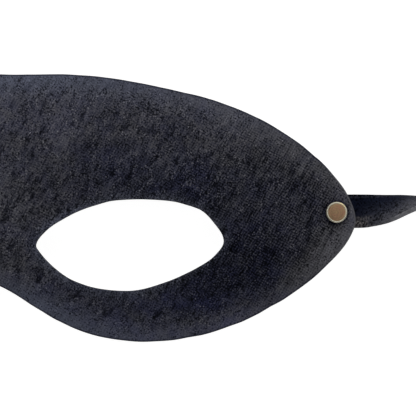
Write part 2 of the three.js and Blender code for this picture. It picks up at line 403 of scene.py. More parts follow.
def strap_sweep_tree():
    """Geometry nodes that lay a strip with rounded corners along a line and keep its flat measure."""
    tree, given, result = node_tree(
        "strap_sweep",
        "GeometryNodeTree",
        [
            ("Line", "NodeSocketGeometry", None),
            ("Width", "NodeSocketFloat", STRAP_WIDTH),
            ("Thickness", "NodeSocketFloat", STRAP_THICKNESS),
            ("Corner Radius", "NodeSocketFloat", STRAP_CORNER),
            ("Raised Edge", "NodeSocketFloat", 1.0),
            ("Leather", "NodeSocketMaterial", None),
        ],
        [("Strap", "NodeSocketGeometry")],
    )
    link = tree.links.new
    section = tree.nodes.new("GeometryNodeCurvePrimitiveQuadrilateral")
    link(given.outputs["Width"], section.inputs["Width"])
    link(given.outputs["Thickness"], section.inputs["Height"])
    rounded = tree.nodes.new("GeometryNodeFilletCurve")
    rounded.mode = "POLY"
    rounded.inputs["Count"].default_value = CORNER_POINTS
    link(section.outputs["Curve"], rounded.inputs["Curve"])
    link(given.outputs["Corner Radius"], rounded.inputs["Radius"])
    finer = tree.nodes.new("GeometryNodeSubdivideCurve")
    finer.inputs["Cuts"].default_value = SECTION_CUTS
    link(rounded.outputs["Curve"], finer.inputs["Curve"])
    across = tree.nodes.new("GeometryNodeCaptureAttribute")
    across.capture_items.new("VECTOR", "Across")
    link(finer.outputs["Curve"], across.inputs["Geometry"])
    link(tree.nodes.new("GeometryNodeInputPosition").outputs["Position"], across.inputs["Across"])
    along = tree.nodes.new("GeometryNodeCaptureAttribute")
    along.capture_items.new("FLOAT", "Along")
    link(given.outputs["Line"], along.inputs["Geometry"])
    link(tree.nodes.new("GeometryNodeSplineParameter").outputs["Length"], along.inputs["Along"])
    sweep = tree.nodes.new("GeometryNodeCurveToMesh")
    sweep.inputs["Fill Caps"].default_value = True
    link(along.outputs["Geometry"], sweep.inputs["Curve"])
    link(across.outputs["Geometry"], sweep.inputs["Profile Curve"])
    split = tree.nodes.new("ShaderNodeSeparateXYZ")
    link(across.outputs["Across"], split.inputs["Vector"])
    measure = tree.nodes.new("ShaderNodeCombineXYZ")
    link(along.outputs["Along"], measure.inputs["X"])
    flat_across = calc(tree, "MULTIPLY", split.outputs["X"], given.outputs["Raised Edge"])
    link(flat_across, measure.inputs["Y"])
    link(split.outputs["Y"], measure.inputs["Z"])
    store = tree.nodes.new("GeometryNodeStoreNamedAttribute")
    store.data_type = "FLOAT_VECTOR"
    store.inputs["Name"].default_value = "strip"
    link(sweep.outputs["Mesh"], store.inputs["Geometry"])
    link(measure.outputs["Vector"], store.inputs["Value"])
    smooth = tree.nodes.new("GeometryNodeSetShadeSmooth")
    link(store.outputs["Geometry"], smooth.inputs["Geometry"])
    plain = tree.nodes.new("GeometryNodeRealizeInstances")
    link(smooth.outputs["Geometry"], plain.inputs["Geometry"])
    finish = tree.nodes.new("GeometryNodeSetMaterial")
    link(plain.outputs["Geometry"], finish.inputs["Geometry"])
    link(given.outputs["Leather"], finish.inputs["Material"])
    link(finish.outputs["Geometry"], result.inputs["Strap"])
    return tree


def worked_mesh(maker, tree, values, name):
    """The plain mesh that a geometry-nodes tree makes from an object, as an object of its own."""
    modifier = maker.modifiers.new(tree.name, "NODES")
    modifier.node_group = tree
    for socket in tree.interface.items_tree:
        if socket.in_out == "INPUT" and socket.name in values:
            modifier[socket.identifier] = values[socket.name]
    depsgraph = bpy.context.evaluated_depsgraph_get()
    mesh = bpy.data.meshes.new_from_object(maker.evaluated_get(depsgraph), depsgraph=depsgraph)
    maker.modifiers.remove(modifier)
    mesh.name = name
    piece = bpy.data.objects.new(name, mesh)
    bpy.context.scene.collection.objects.link(piece)
    bpy.data.objects.remove(maker)
    return piece


strap_leather = satin_leather_finish()
strap_sweep = strap_sweep_tree()
line = strap_line()
for end, side in (("right", 1), ("left", -1)):
    curve = bpy.data.curves.new(f"strap_{end}_line", "CURVE")
    curve.dimensions = "3D"
    curve.twist_mode = "Z_UP"
    spline = curve.splines.new("POLY")
    spline.points.add(len(line) - 1)
    for point, (x, y, z, turn) in zip(spline.points, line):
        point.co = (side * x, y, z, 1)
        point.tilt = -side * math.radians(turn)
    maker = bpy.data.objects.new(f"strap_{end}_line", curve)
    bpy.context.scene.collection.objects.link(maker)
    strap = worked_mesh(
        maker,
        strap_sweep,
        {
            "Width": STRAP_WIDTH,
            "Thickness": STRAP_THICKNESS,
            "Corner Radius": STRAP_CORNER,
            "Raised Edge": float(side),
            "Leather": strap_leather,
        },
        f"tie_strap_{end}",
    )
    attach(strap, "root")
    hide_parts(f"strap_{end}", f"strap_{end}_coil")


# Mask: one piece of 2 mm black leather with a fine nap. It is cut by hand along a pattern while it is
# flat, with its eye and rivet holes, and then pressed damp over a low mould, which crowns it and
# leaves a level seat at each tip for the rivet.
LEATHER = 0.002
CUT_STEP = 0.0005
GRAIN_STEP = 0.00053
FLESH_STEP = 0.0012
SCISSOR_WANDER = 0.00016
SCISSOR_SNIP = 0.0065
SLIP_LENGTH = 0.0040
# Where the scissors slip: the place, and how far into the leather, or out of it if negative.
SCISSOR_SLIPS = [
    (0.0939, 0.0149, 0.00016),
    (0.0817, -0.0281, 0.00026),
    (0.0735, -0.0322, -0.00012),
    (0.0619, -0.0360, -0.00012),
    (0.0170, -0.0294, 0.00012),
    (0.0226, -0.0033, -0.00016),
    (0.0361, 0.0017, 0.00015),
    (0.0615, -0.0006, 0.00038),
    (0.0657, -0.0042, -0.00030),
    (0.0681, -0.0090, 0.00024),
    (0.0647, -0.0144, 0.00010),
    (0.0248, -0.0199, 0.00014),
]
OUTLINE_HALF = [
    ((0.0, 0.0379), (0.0312, 0.0379), (0.0304, 0.0389), (0.0596, 0.0322)),
    ((0.0596, 0.0322), (0.0854, 0.0263), (0.1056, 0.0076), (0.1056, -0.0036)),
    ((0.1056, -0.0036), (0.1056, -0.0122), (0.0790, -0.03795), (0.0461, -0.03795)),
    ((0.0461, -0.03795), (0.0189, -0.03795), (0.0111, -0.0209), (0.0, -0.0209)),
]
EYE_HOLE = [
    ((0.0156, -0.0112), (0.0140, -0.0083), (0.0261, 0.0025), (0.0450, 0.0025)),
    ((0.0450, 0.0025), (0.0670, 0.0025), (0.0681, -0.0085), (0.0681, -0.0096)),
    ((0.0681, -0.0096), (0.0681, -0.0149), (0.0492, -0.0235), (0.0408, -0.0235)),
    ((0.0408, -0.0235), (0.0274, -0.0235), (0.0200, -0.0179), (0.0156, -0.0112)),
]
CUT_SECTION = [
    (0.00060, 0.00200),
    (0.00038, 0.00199),
    (0.00020, 0.00195),
    (0.00008, 0.00187),
    (0.00000, 0.00173),
    (0.00000, 0.00100),
    (0.00000, 0.00024),
    (0.00008, 0.00008),
    (0.00022, 0.00000),
    (0.00060, 0.00000),
]
RIVET_PLACE = (0.1002, -0.0012)
RIVET_HOLE = 0.0017
HOLE_SIDES = 24
GRID_CLEARANCE = 0.6
SAME_POINT = 1e-7
# Up through the leather: its back, the two ends of the cut between them, and its front.
FACE_HEIGHTS = (0, 0.0002, 0.0017, 0.00195)
FACE_VALUES = (-1, 0, 0, 1)
MOULD = {
    "Rise": 0.007,
    "Crown": 0.0068,
    "Crown Blend": 0.0003,
    "Middle Y": -0.001,
    "Half Length": 0.140,
    "Half Height": 0.0395,
    "Rivet X": RIVET_PLACE[0],
    "Rivet Y": RIVET_PLACE[1],
    "Seat Height": 0.0034,
    "Seat Radius": 0.005,
    "Seat Blend": 0.007,
}
# Tint of the darker nap: partly its navy dye, partly a painted bluish sheen.
BLUE_NAP_AND_SHEEN = (0.58, 0.65, 1.60, 1)
NEUTRAL_NAP = (0.965, 0.947, 1.08, 1)
GREY_NAP = (0.925, 0.962, 1.05, 1)
# Painted reflection of cool light along the rim.
BLUE_RIM_REFLECTION = (0.84, 0.93, 1.30, 1)
NAP_SHEEN = (0.70, 0.80, 1.0, 1)
CUT_LINE = (0.014, 0.016, 0.034, 1)
# Painted highlight on the cut corner at the tip.
CUT_HIGHLIGHT_AT_TIP = (0.125, 0.125, 0.135, 1)
CUT_FIBRES = ((0.014, 0.014, 0.020, 1), (0.090, 0.088, 0.100, 1))
SUEDE = ((0.014, 0.013, 0.014, 1), (0.062, 0.056, 0.054, 1))
BASE_PALENESS = 0.038
# Patches of painted shade and painted light on the nap, on both halves of the mask: place, radius, and
# how pale the middle of the patch is beside the leather round it.
PAINTED_LIGHT_AND_SHADE = [
    (0.074, -0.016, 0.022, 0.41),
    (0.060, -0.025, 0.013, 0.73),
    (0.031, 0.012, 0.013, 0.68),
    (0.040, 0.004, 0.014, 0.76),
    (0.061, 0.006, 0.0145, 0.68),
    (0.091, 0.006, 0.011, 0.88),
    (0.093, 0.0195, 0.010, 0.78),
    (0.0935, -0.0185, 0.009, 0.82),
    (0.008, -0.019, 0.009, 0.80),
    (0.0757, 0.0085, 0.009, 0.80),
    (0.0203, 0.006, 0.009, 0.80),
    (0.013, 0.031, 0.009, 0.82),
    (0.066, 0.0175, 0.018, 1.28),
    (0.0245, 0.0215, 0.010, 1.28),
    (0.005, 0.0085, 0.008, 1.22),
    (0.073, -0.0245, 0.009, 1.18),
]


def curve_points(curves):
    """Points about one cut step apart along a run of curves, without the last one."""
    points = []
    for curve in curves:
        corners = [Vector(corner) for corner in curve]
        length = sum((b - a).length for a, b in zip(corners, corners[1:]))
        count = max(4, round(length / CUT_STEP)) + 1
        points += [tuple(point) for point in geometry.interpolate_bezier(*corners, count)[:-1]]
    return np.array(points)


def mirrored(curves):
    """The same curves on the other side of the nose, in the order that goes on round the cut."""
    return [tuple((-x, y) for x, y in reversed(curve)) for curve in reversed(curves)]


def to_the_left(loop):
    """The unit direction to the left of a closed line, which is where the leather lies."""
    step = np.roll(loop, -1, 0) - np.roll(loop, 1, 0)
    step /= np.linalg.norm(step, axis=1)[:, None]
    return np.stack([-step[:, 1], step[:, 0]], axis=1)


def hand_cut(loop, seed):
    """The line as scissors follow it: it wanders a little, and slips off the line here and there."""
    wander = [noise.noise(Vector((x, y, seed * SCISSOR_SNIP)) / SCISSOR_SNIP) for x, y in loop]
    off_line = np.array(wander) * SCISSOR_WANDER
    for x, y, slip in SCISSOR_SLIPS:
        far = np.hypot(loop[:, 0] - x, loop[:, 1] - y) / SLIP_LENGTH
        off_line += slip * np.clip(1 - far, 0, None)
    return loop + to_the_left(loop) * off_line[:, None]


def round_hole(x, y, radius):
    """A punched hole, run round clockwise so that the leather lies to its left."""
    angles = -np.arange(HOLE_SIDES) * 2 * math.pi / HOLE_SIDES
    return np.stack([x + radius * np.cos(angles), y + radius * np.sin(angles)], axis=1)


def inside_grid(loops, step):
    """A six-sided grid of points that fills the leather between the given lines."""
    low = loops[0].min(0)
    high = loops[0].max(0)
    rows = np.arange(low[1], high[1], step * math.sqrt(3) / 2)
    columns = np.arange(low[0], high[0], step)
    x, y = np.meshgrid(columns, rows)
    x[1::2] += step / 2
    tree = kdtree.KDTree(sum(len(loop) for loop in loops))
    inward = np.concatenate([to_the_left(loop) for loop in loops])
    for i, point in enumerate(np.concatenate(loops)):
        tree.insert((*point, 0), i)
    tree.balance()
    kept = []
    for point in zip(x.ravel(), y.ravel()):
        near, i, distance = tree.find((*point, 0))
        away = (point[0] - near[0]) * inward[i][0] + (point[1] - near[1]) * inward[i][1]
        if away > 0 and distance > step * GRID_CLEARANCE:
            kept.append(point)
    return np.array(kept)


def skin(loops, step):
    """Triangles that fill the leather between the lines, and the grid points they need."""
    grid = inside_grid(loops, step)
    points = np.concatenate(loops + [grid])
    edges = []
    first = 0
    for loop in loops:
        edges += [(first + i, first + (i + 1) % len(loop)) for i in range(len(loop))]
        first += len(loop)
    made = geometry.delaunay_2d_cdt([Vector(point) for point in points], edges, [], 0, SAME_POINT)
    follower = dict(edges)
    triangles = []
    for face in made[2]:
        along_cut = [corner for corner in face if corner < first]
        if len(along_cut) == 3:
            middle = points[list(face)].mean(0)
            edge = next((corner for corner in face if follower[corner] in face), None)
            if edge is None or not leather_side(points[edge], points[follower[edge]], middle):
                continue
        triangles.append(tuple(face))
    return grid, np.array(triangles)


def leather_side(start, end, point):
    """True if the point lies to the left of the cut from start to end."""
    run = end - start
    off = point - start
    return run[0] * off[1] - run[1] * off[0] > 0


def cut_blank(loops):
    """The flat blank: a skin on both faces, and a cut edge with softened corners round every line."""
    inward = [to_the_left(loop) for loop in loops]
    verts = []
    faces = []
    ring_starts = []
    for inset, height in CUT_SECTION:
        ring_starts.append(sum(len(block) for block in verts))
        ring = np.concatenate([loop + left * inset for loop, left in zip(loops, inward)])
        verts.append(np.column_stack([ring, np.full(len(ring), height)]))
    first = 0
    for loop in loops:
        for upper, lower in zip(ring_starts, ring_starts[1:]):
            for i in range(len(loop)):
                here = first + i
                there = first + (i + 1) % len(loop)
                faces.append((upper + here, lower + here, lower + there, upper + there))
        first += len(loop)
    inset = CUT_SECTION[0][0]
    skins = [(ring_starts[0], GRAIN_STEP, LEATHER, 1), (ring_starts[-1], FLESH_STEP, 0, -1)]
    for start, step, height, up in skins:
        grid, triangles = skin([loop + left * inset for loop, left in zip(loops, inward)], step)
        base = sum(len(block) for block in verts)
        verts.append(np.column_stack([grid, np.full(len(grid), height)]))
        numbers = np.where(triangles < first, triangles + start, triangles - first + base)
        faces += [tuple(row[::up]) for row in numbers.tolist()]
    return np.concatenate(verts), faces


def distances(points, loops):
    """How far each point lies from the nearest of the lines."""
    tree = kdtree.KDTree(sum(len(loop) for loop in loops))
    for i, point in enumerate(np.concatenate(loops)):
        tree.insert((*point, 0), i)
    tree.balance()
    return np.array([tree.find((x, y, 0))[2] for x, y in points])


def add_attribute(mesh, name, values):
    """A number for every point of the mesh, for the node trees to read."""
    layer = mesh.attributes.new(name, "FLOAT", "POINT")
    layer.data.foreach_set("value", np.asarray(values, dtype=np.float32))


def named_value(tree, name):
    """A number stored on the points, read inside geometry nodes."""
    made = tree.nodes.new("GeometryNodeInputNamedAttribute")
    made.data_type = "FLOAT"
    made.inputs["Name"].default_value = name
    return made.outputs["Attribute"]


def sum_of_squares(tree, first, second):
    """One number squared, plus another squared."""
    first = calc(tree, "MULTIPLY", first, first)
    return calc(tree, "ADD", first, calc(tree, "MULTIPLY", second, second))


def far_from(tree, x, y, place_x, place_y):
    """How far a point of the sheet lies from a place on it."""
    from_x = calc(tree, "SUBTRACT", x, place_x)
    from_y = calc(tree, "SUBTRACT", y, place_y)
    return calc(tree, "SQRT", sum_of_squares(tree, from_x, from_y))


def mould_tree():
    """Geometry nodes that press the flat blank over the mould and give its face a soft unevenness."""
    sizes = [(name, "NodeSocketFloat", value) for name, value in MOULD.items()]
    tree, given, result = node_tree(
        "press_over_mould",
        "GeometryNodeTree",
        [("Blank", "NodeSocketGeometry", None)]
        + sizes
        + [
            ("Lift", "NodeSocketFloat", 0.0),
            ("Wave Height", "NodeSocketFloat", 0.00012),
            ("Wave Size", "NodeSocketFloat", 0.006),
            ("Pebble Height", "NodeSocketFloat", 0.00005),
            ("Pebble Size", "NodeSocketFloat", 0.0013),
            ("Seed", "NodeSocketFloat", 4.0),
            ("Leather", "NodeSocketMaterial", None),
        ],
        [("Mask", "NodeSocketGeometry")],
    )
    size = given.outputs
    position = tree.nodes.new("GeometryNodeInputPosition").outputs["Position"]
    x, y, z = separate(tree, position)
    share_x = calc(tree, "DIVIDE", x, size["Half Length"])
    share_y = calc(tree, "DIVIDE", calc(tree, "SUBTRACT", y, size["Middle Y"]), size["Half Height"])
    out = sum_of_squares(tree, share_x, share_y)
    dome = calc(tree, "MULTIPLY", calc(tree, "SUBTRACT", 1.0, out), size["Rise"])
    crown = calc(tree, "SMOOTH_MIN", dome, size["Crown"], size["Crown Blend"])
    from_rivet = far_from(tree, calc(tree, "ABSOLUTE", x), y, size["Rivet X"], size["Rivet Y"])
    seat_end = calc(tree, "ADD", size["Seat Radius"], size["Seat Blend"])
    off_seat = eased(tree, from_rivet, size["Seat Radius"], seat_end)
    over_seat = calc(tree, "SUBTRACT", crown, size["Seat Height"])
    under = calc(tree, "ADD", calc(tree, "MULTIPLY", over_seat, off_seat), size["Seat Height"])
    level = calc(tree, "ADD", calc(tree, "ADD", under, z), size["Lift"])
    from_cut = calc(tree, "MINIMUM", named_value(tree, "from_rim"), named_value(tree, "from_eye"))
    on_face = calc(tree, "MULTIPLY", eased(tree, from_cut, 0.0003, 0.003), off_seat)
    on_face = faded(tree, on_face, named_value(tree, "face"), 0.4, 0.9)
    for name in ("Wave", "Pebble"):
        bumps = cloudy(tree, position, size[f"{name} Size"], 1.0, size["Seed"])
        height = calc(tree, "MULTIPLY", calc(tree, "SUBTRACT", bumps, 0.5), size[f"{name} Height"])
        level = calc(tree, "ADD", level, calc(tree, "MULTIPLY", height, on_face))
    place = tree.nodes.new("ShaderNodeCombineXYZ")
    for value, axis in ((x, "X"), (y, "Y"), (level, "Z")):
        tree.links.new(value, place.inputs[axis])
    press = tree.nodes.new("GeometryNodeSetPosition")
    tree.links.new(size["Blank"], press.inputs["Geometry"])
    tree.links.new(place.outputs["Vector"], press.inputs["Position"])
    plain = tree.nodes.new("GeometryNodeRealizeInstances")
    tree.links.new(press.outputs["Geometry"], plain.inputs["Geometry"])
    finish = tree.nodes.new("GeometryNodeSetMaterial")
    tree.links.new(plain.outputs["Geometry"], finish.inputs["Geometry"])
    tree.links.new(size["Leather"], finish.inputs["Material"])
    tree.links.new(finish.outputs["Geometry"], result.inputs["Mask"])
    return tree


def napped_leather_finish():
    """The mask's leather: a matt black nap in front, rough suede behind, and raw fibres at the cuts.
    The nap has painted light at its rim, eye holes and tip, patches of painted light and shade, and
    painted shadow round the rivets; it is paler toward the nose, and its darker parts are bluer."""
    finish, tree, shader = new_finish("napped_black_leather")
    position = tree.nodes.new("ShaderNodeTexCoord").outputs["Object"]
    x, y, _ = separate(tree, position)
    out_x = calc(tree, "ABSOLUTE", x)
    from_rim = stored(tree, "from_rim")
    from_eye = stored(tree, "from_eye")
    # Painted light: the nap is paler along the rim, round the eye holes, at the brow, along the lower
    # edge and at the tip, where the dome slopes to the lamps.
    painted_rim_light = eased(tree, from_rim, 0.0, 0.010, 0.034, 0.0)
    painted_rim_light = shifted(tree, painted_rim_light, from_eye, 0.0, 0.0022, 0.024, 0.0)
    painted_eye_light = eased(tree, from_eye, 0.0, 0.0045, 0.016, 0.0)
    painted_eye_light = faded(tree, painted_eye_light, out_x, 0.028, 0.042, 1.0, 0.25)
    painted_eye_light = faded(tree, painted_eye_light, y, -0.010, -0.004)
    painted_brow_light = eased(tree, from_rim, 0.0, 0.026, 0.017, 0.0)
    painted_brow_light = faded(tree, painted_brow_light, y, 0.0, 0.02)
    painted_brow_light = faded(tree, painted_brow_light, out_x, 0.01, 0.05, 1.35, 0.70)
    painted_low_light = eased(tree, from_rim, 0.0, 0.0055, 0.012, 0.0)
    painted_low_light = faded(tree, painted_low_light, y, -0.030, -0.022, 1.0, 0.0)
    painted_low_light = faded(tree, painted_low_light, out_x, 0.060, 0.068, 1.0, 2.0)
    painted_tip_light = eased(tree, from_rim, 0.0, 0.009, 0.030, 0.0)
    painted_tip_light = faded(tree, painted_tip_light, out_x, 0.078, 0.096)
    painted_tip_light = faded(tree, painted_tip_light, y, -0.004, 0.006, 1.0, 0.0)
    # Paler toward the middle of the nose.
    nose_paling = eased(tree, out_x, 0.004, 0.062, 0.020, 0.0)
    paleness = painted_rim_light
    for more in (painted_eye_light, painted_low_light, painted_brow_light, painted_tip_light, nose_paling, BASE_PALENESS):
        paleness = calc(tree, "ADD", paleness, more)
    for patch_x, patch_y, radius, share in PAINTED_LIGHT_AND_SHADE:
        away = far_from(tree, out_x, y, patch_x, patch_y)
        paleness = faded(tree, paleness, away, 0.0, radius, share, 1.0)
    # Painted shadow, with some grime, in a ring on the leather round each rivet cap.
    from_rivet = far_from(tree, out_x, y, *RIVET_PLACE)
    paleness = faded(tree, paleness, from_rivet, 0.0030, 0.0042, 0.3, 1.0)
    paleness = faded(tree, paleness, cloudy(tree, position, 0.009, 3.0, 5.0), 0.3, 0.7, 1.08, 1.14)
    contrast = eased(tree, from_rim, 0.0, 0.006, 0.65, 1.06)
    contrast = calc(tree, "DIVIDE", contrast, calc(tree, "POWER", paleness, 0.75))
    contrast = faded(tree, contrast, y, -0.024, -0.012, 0.84, 1.0)
    grain = placed(
        tree,
        leather_grain,
        Vector=position,
        Grain_Turn=math.radians(30),
        Fibre_Size=0.00043,
        Fibre_Share=eased(tree, out_x, 0.055, 0.085, 1.0, 0.85),
        Clump_Size=0.0016,
        Clump_Share=0.27,
        Cross_Pitch=0.00075,
        Cross_Share=eased(tree, out_x, 0.055, 0.085, 0.022, 0.038),
        Crease_Size=0.0014,
        Crease_Depth=eased(tree, from_rim, 0.001, 0.007, 0.2, 0.80),
        Speck_Light=1.0,
        Contrast=contrast,
        Seed=7.0,
    )
    neutral = eased(tree, cloudy(tree, position, 0.005, 4.0, 9.0), 0.30, 0.70, -0.05, 0.23)
    neutral = calc(tree, "MULTIPLY_ADD", grain["Tone"], 0.30, neutral)
    # Darker nap is bluer, partly its navy dye and partly a painted bluish sheen; bluer still toward
    # the bottom, a painted cool light from below, and less blue toward the tip.
    neutral = shifted(tree, neutral, paleness, 0.014, 0.060, -0.42, 0.40)
    neutral = shifted(tree, neutral, y, -0.030, -0.016, -0.22, 0.0)
    neutral = shifted(tree, neutral, out_x, 0.050, 0.080, 0.0, 0.14)
    greyer_tip = eased(tree, out_x, 0.082, 0.100, 0.0, 0.28)
    greyer_tip = faded(tree, greyer_tip, y, -0.012, -0.004, 1.0, 0.0)
    neutral = calc(tree, "ADD", neutral, greyer_tip)
    tint = blended(tree, neutral, BLUE_NAP_AND_SHEEN, NEUTRAL_NAP)
    grey_share = eased(tree, y, 0.008, 0.024, 0.4, 0.1)
    greyer = eased(tree, cloudy(tree, position, 0.005, 3.0, 12.0), 0.35, 0.65, 0.0, grey_share)
    tint = blended(tree, greyer, tint, GREY_NAP)
    # Painted reflection of cool light: bluer along the upper and lower rim, round the eye holes, and a
    # little at the tip.
    painted_blue_rim = eased(tree, from_rim, 0.0, 0.0100, 0.9, 0.0)
    painted_blue_rim = faded(tree, painted_blue_rim, calc(tree, "ABSOLUTE", y), 0.014, 0.028)
    blue_tip = eased(tree, y, -0.02, 0.0, 0.0, 0.35)
    painted_blue_rim = faded(tree, painted_blue_rim, out_x, 0.015, 0.065, 1.0, blue_tip)
    painted_blue_rim = shifted(tree, painted_blue_rim, from_eye, 0.0008, 0.0035, 0.6, 0.0)
    tint = blended(tree, painted_blue_rim, tint, BLUE_RIM_REFLECTION)
    front = blended(tree, calc(tree, "MULTIPLY", grain["Tone"], paleness), BLACK, tint)
    # A dark line along the front edge of the cut, which turns at the tip into a painted highlight
    # where the cut corner faces the lamps.
    cut_line = eased(tree, from_rim, 0.00030, 0.00055, 1.0, 0.0)
    line_tint = blended(tree, eased(tree, out_x, 0.095, 0.101), CUT_LINE, CUT_HIGHLIGHT_AT_TIP)
    front = blended(tree, calc(tree, "MULTIPLY", cut_line, 0.75), front, line_tint)
    face = stored(tree, "face")
    nap = eased(tree, cloudy(tree, position, 0.0008, 4.0, 11.0), 0.25, 0.75)
    suede = blended(tree, nap, *SUEDE)
    fibres = blended(tree, calc(tree, "MULTIPLY", grain["Tone"], 0.4), *CUT_FIBRES)
    colour = blended(tree, eased(tree, face, 0.2, 0.8), fibres, front)
    behind = eased(tree, face, -0.8, -0.3, 1.0, 0.0)
    colour = blended(tree, behind, colour, suede)
    feed(tree, shader.inputs["Base Color"], colour)
    shader.inputs["Specular IOR Level"].default_value = 0.06
    shader.inputs["Specular Tint"].default_value = NAP_SHEEN
    feed(tree, shader.inputs["Roughness"], eased(tree, grain["Tone"], 0.3, 2.0, 0.44, 0.56))
    height = calc(tree, "MULTIPLY", grain["Height"], calc(tree, "SUBTRACT", 1.0, behind))
    height = calc(tree, "MULTIPLY_ADD", nap, behind, height)
    feed(tree, shader.inputs["Normal"], raised(tree, height, 0.0003, 0.8))
    return finish


mask_leather = napped_leather_finish()
rim = hand_cut(curve_points(mirrored(OUTLINE_HALF) + OUTLINE_HALF)[::-1], 1)
eyes = [hand_cut(curve_points(EYE_HOLE), 2), hand_cut(curve_points(mirrored(EYE_HOLE)), 3)]
holes = [round_hole(side * RIVET_PLACE[0], RIVET_PLACE[1], RIVET_HOLE) for side in (1, -1)]
verts, faces = cut_blank([rim] + eyes + holes)
blank = bpy.data.meshes.new("mask_blank")
blank.from_pydata(verts.tolist(), [], faces)
add_attribute(blank, "from_rim", distances(verts[:, :2], [rim]))
add_attribute(blank, "from_eye", distances(verts[:, :2], eyes))
add_attribute(blank, "face", np.interp(verts[:, 2], FACE_HEIGHTS, FACE_VALUES))
blank.shade_smooth()
maker = bpy.data.objects.new("mask_blank", blank)
bpy.context.scene.collection.objects.link(maker)
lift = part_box("mask")[1][2] - MOULD["Crown"] - LEATHER
pressing = {**MOULD, "Lift": lift, "Leather": mask_leather}
mask = worked_mesh(maker, mould_tree(), pressing, "leather_mask")
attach(mask, "root")
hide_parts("mask")


# Rivets: turned brass, browned with age. A front cap with a raised rim, worn pale and painted with a
# reflection and a glint, is pressed on a post that comes up from a flat back cap, through the strap
# and the mask.
RIVET_SIDES = 56
RIVET_RING = 0.001
WELD_GAP = 0.000001
TURNING_PITCH = 0.00062
# The side of the rivet on which light and a glint are painted.
PAINTED_LIGHT_SIDE = (0.6, 0.8)
BROWNED_BRASS = ((0.54, 0.290, 0.182, 1), (0.50, 0.325, 0.178, 1))
# A shaded and a lit copy of the groove's brass.
GROOVE_SHADED_AND_LIT = ((0.34, 0.26, 0.14, 1), (0.66, 0.50, 0.30, 1))
# Rim colour: partly worn metal, partly a painted reflection of the bright room.
WORN_AND_REFLECTING_BRASS = ((0.66, 0.62, 0.49, 1), (0.84, 0.81, 0.68, 1))
PAINTED_GLINT_BRASS = (1.0, 0.86, 0.55, 1)
SIDE_BRASS = (0.62, 0.49, 0.28, 1)
FRONT_CAP = [
    (0.0, 0.0),
    (0.00272, 0.0),
    (0.00290, 0.00006),
    (0.00300, 0.00024),
    (0.00300, 0.00080),
    (0.00297, 0.00108),
    (0.00289, 0.00134),
    (0.00277, 0.00151),
    (0.00266, 0.00157),
    (0.00255, 0.00153),
    (0.00247, 0.00143),
    (0.00242, 0.00136),
    (0.00232, 0.00137),
    (0.00190, 0.00141),
    (0.00110, 0.00146),
    (0.0, 0.00148),
]
BACK_CAP_AND_POST = [
    (0.0, 0.0),
    (0.00240, 0.0),
    (0.00272, 0.00005),
    (0.00290, 0.00016),
    (0.00300, 0.00034),
    (0.00300, 0.00078),
    (0.00292, 0.00094),
    (0.00270, 0.00100),
    (0.00152, 0.00100),
    (0.00140, 0.00112),
    (0.00140, 0.00480),
    (0.00128, 0.00490),
    (0.0, 0.00490),
]


def turned_rivet_tree():
    """Geometry nodes that turn a rivet's outline about its own axis and set it in its place."""
    tree, given, result = node_tree(
        "turned_rivet",
        "GeometryNodeTree",
        [
            ("Outline", "NodeSocketGeometry", None),
            ("Sides", "NodeSocketInt", RIVET_SIDES),
            ("Ring Radius", "NodeSocketFloat", RIVET_RING),
            ("Place", "NodeSocketVector", None),
            ("Metal", "NodeSocketMaterial", None),
        ],
        [("Rivet", "NodeSocketGeometry")],
    )
    size = given.outputs
    ring = tree.nodes.new("GeometryNodeCurvePrimitiveCircle")
    feed(tree, ring.inputs["Resolution"], size["Sides"])
    feed(tree, ring.inputs["Radius"], size["Ring Radius"])
    upright = tree.nodes.new("GeometryNodeSetCurveNormal")
    upright.mode = "Z_UP"
    feed(tree, upright.inputs["Curve"], ring.outputs["Curve"])
    turned = tree.nodes.new("GeometryNodeCurveToMesh")
    feed(tree, turned.inputs["Curve"], upright.outputs["Curve"])
    feed(tree, turned.inputs["Profile Curve"], size["Outline"])
    closed = tree.nodes.new("GeometryNodeMergeByDistance")
    feed(tree, closed.inputs["Geometry"], turned.outputs["Mesh"])
    feed(tree, closed.inputs["Distance"], WELD_GAP)
    seated = tree.nodes.new("GeometryNodeTransform")
    feed(tree, seated.inputs["Geometry"], closed.outputs["Geometry"])
    feed(tree, seated.inputs["Translation"], size["Place"])
    smooth = tree.nodes.new("GeometryNodeSetShadeSmooth")
    feed(tree, smooth.inputs["Geometry"], seated.outputs["Geometry"])
    plain = tree.nodes.new("GeometryNodeRealizeInstances")
    feed(tree, plain.inputs["Geometry"], smooth.outputs["Geometry"])
    finish = tree.nodes.new("GeometryNodeSetMaterial")
    feed(tree, finish.inputs["Geometry"], plain.outputs["Geometry"])
    feed(tree, finish.inputs["Material"], size["Metal"])
    feed(tree, result.inputs["Rivet"], finish.outputs["Geometry"])
    return tree


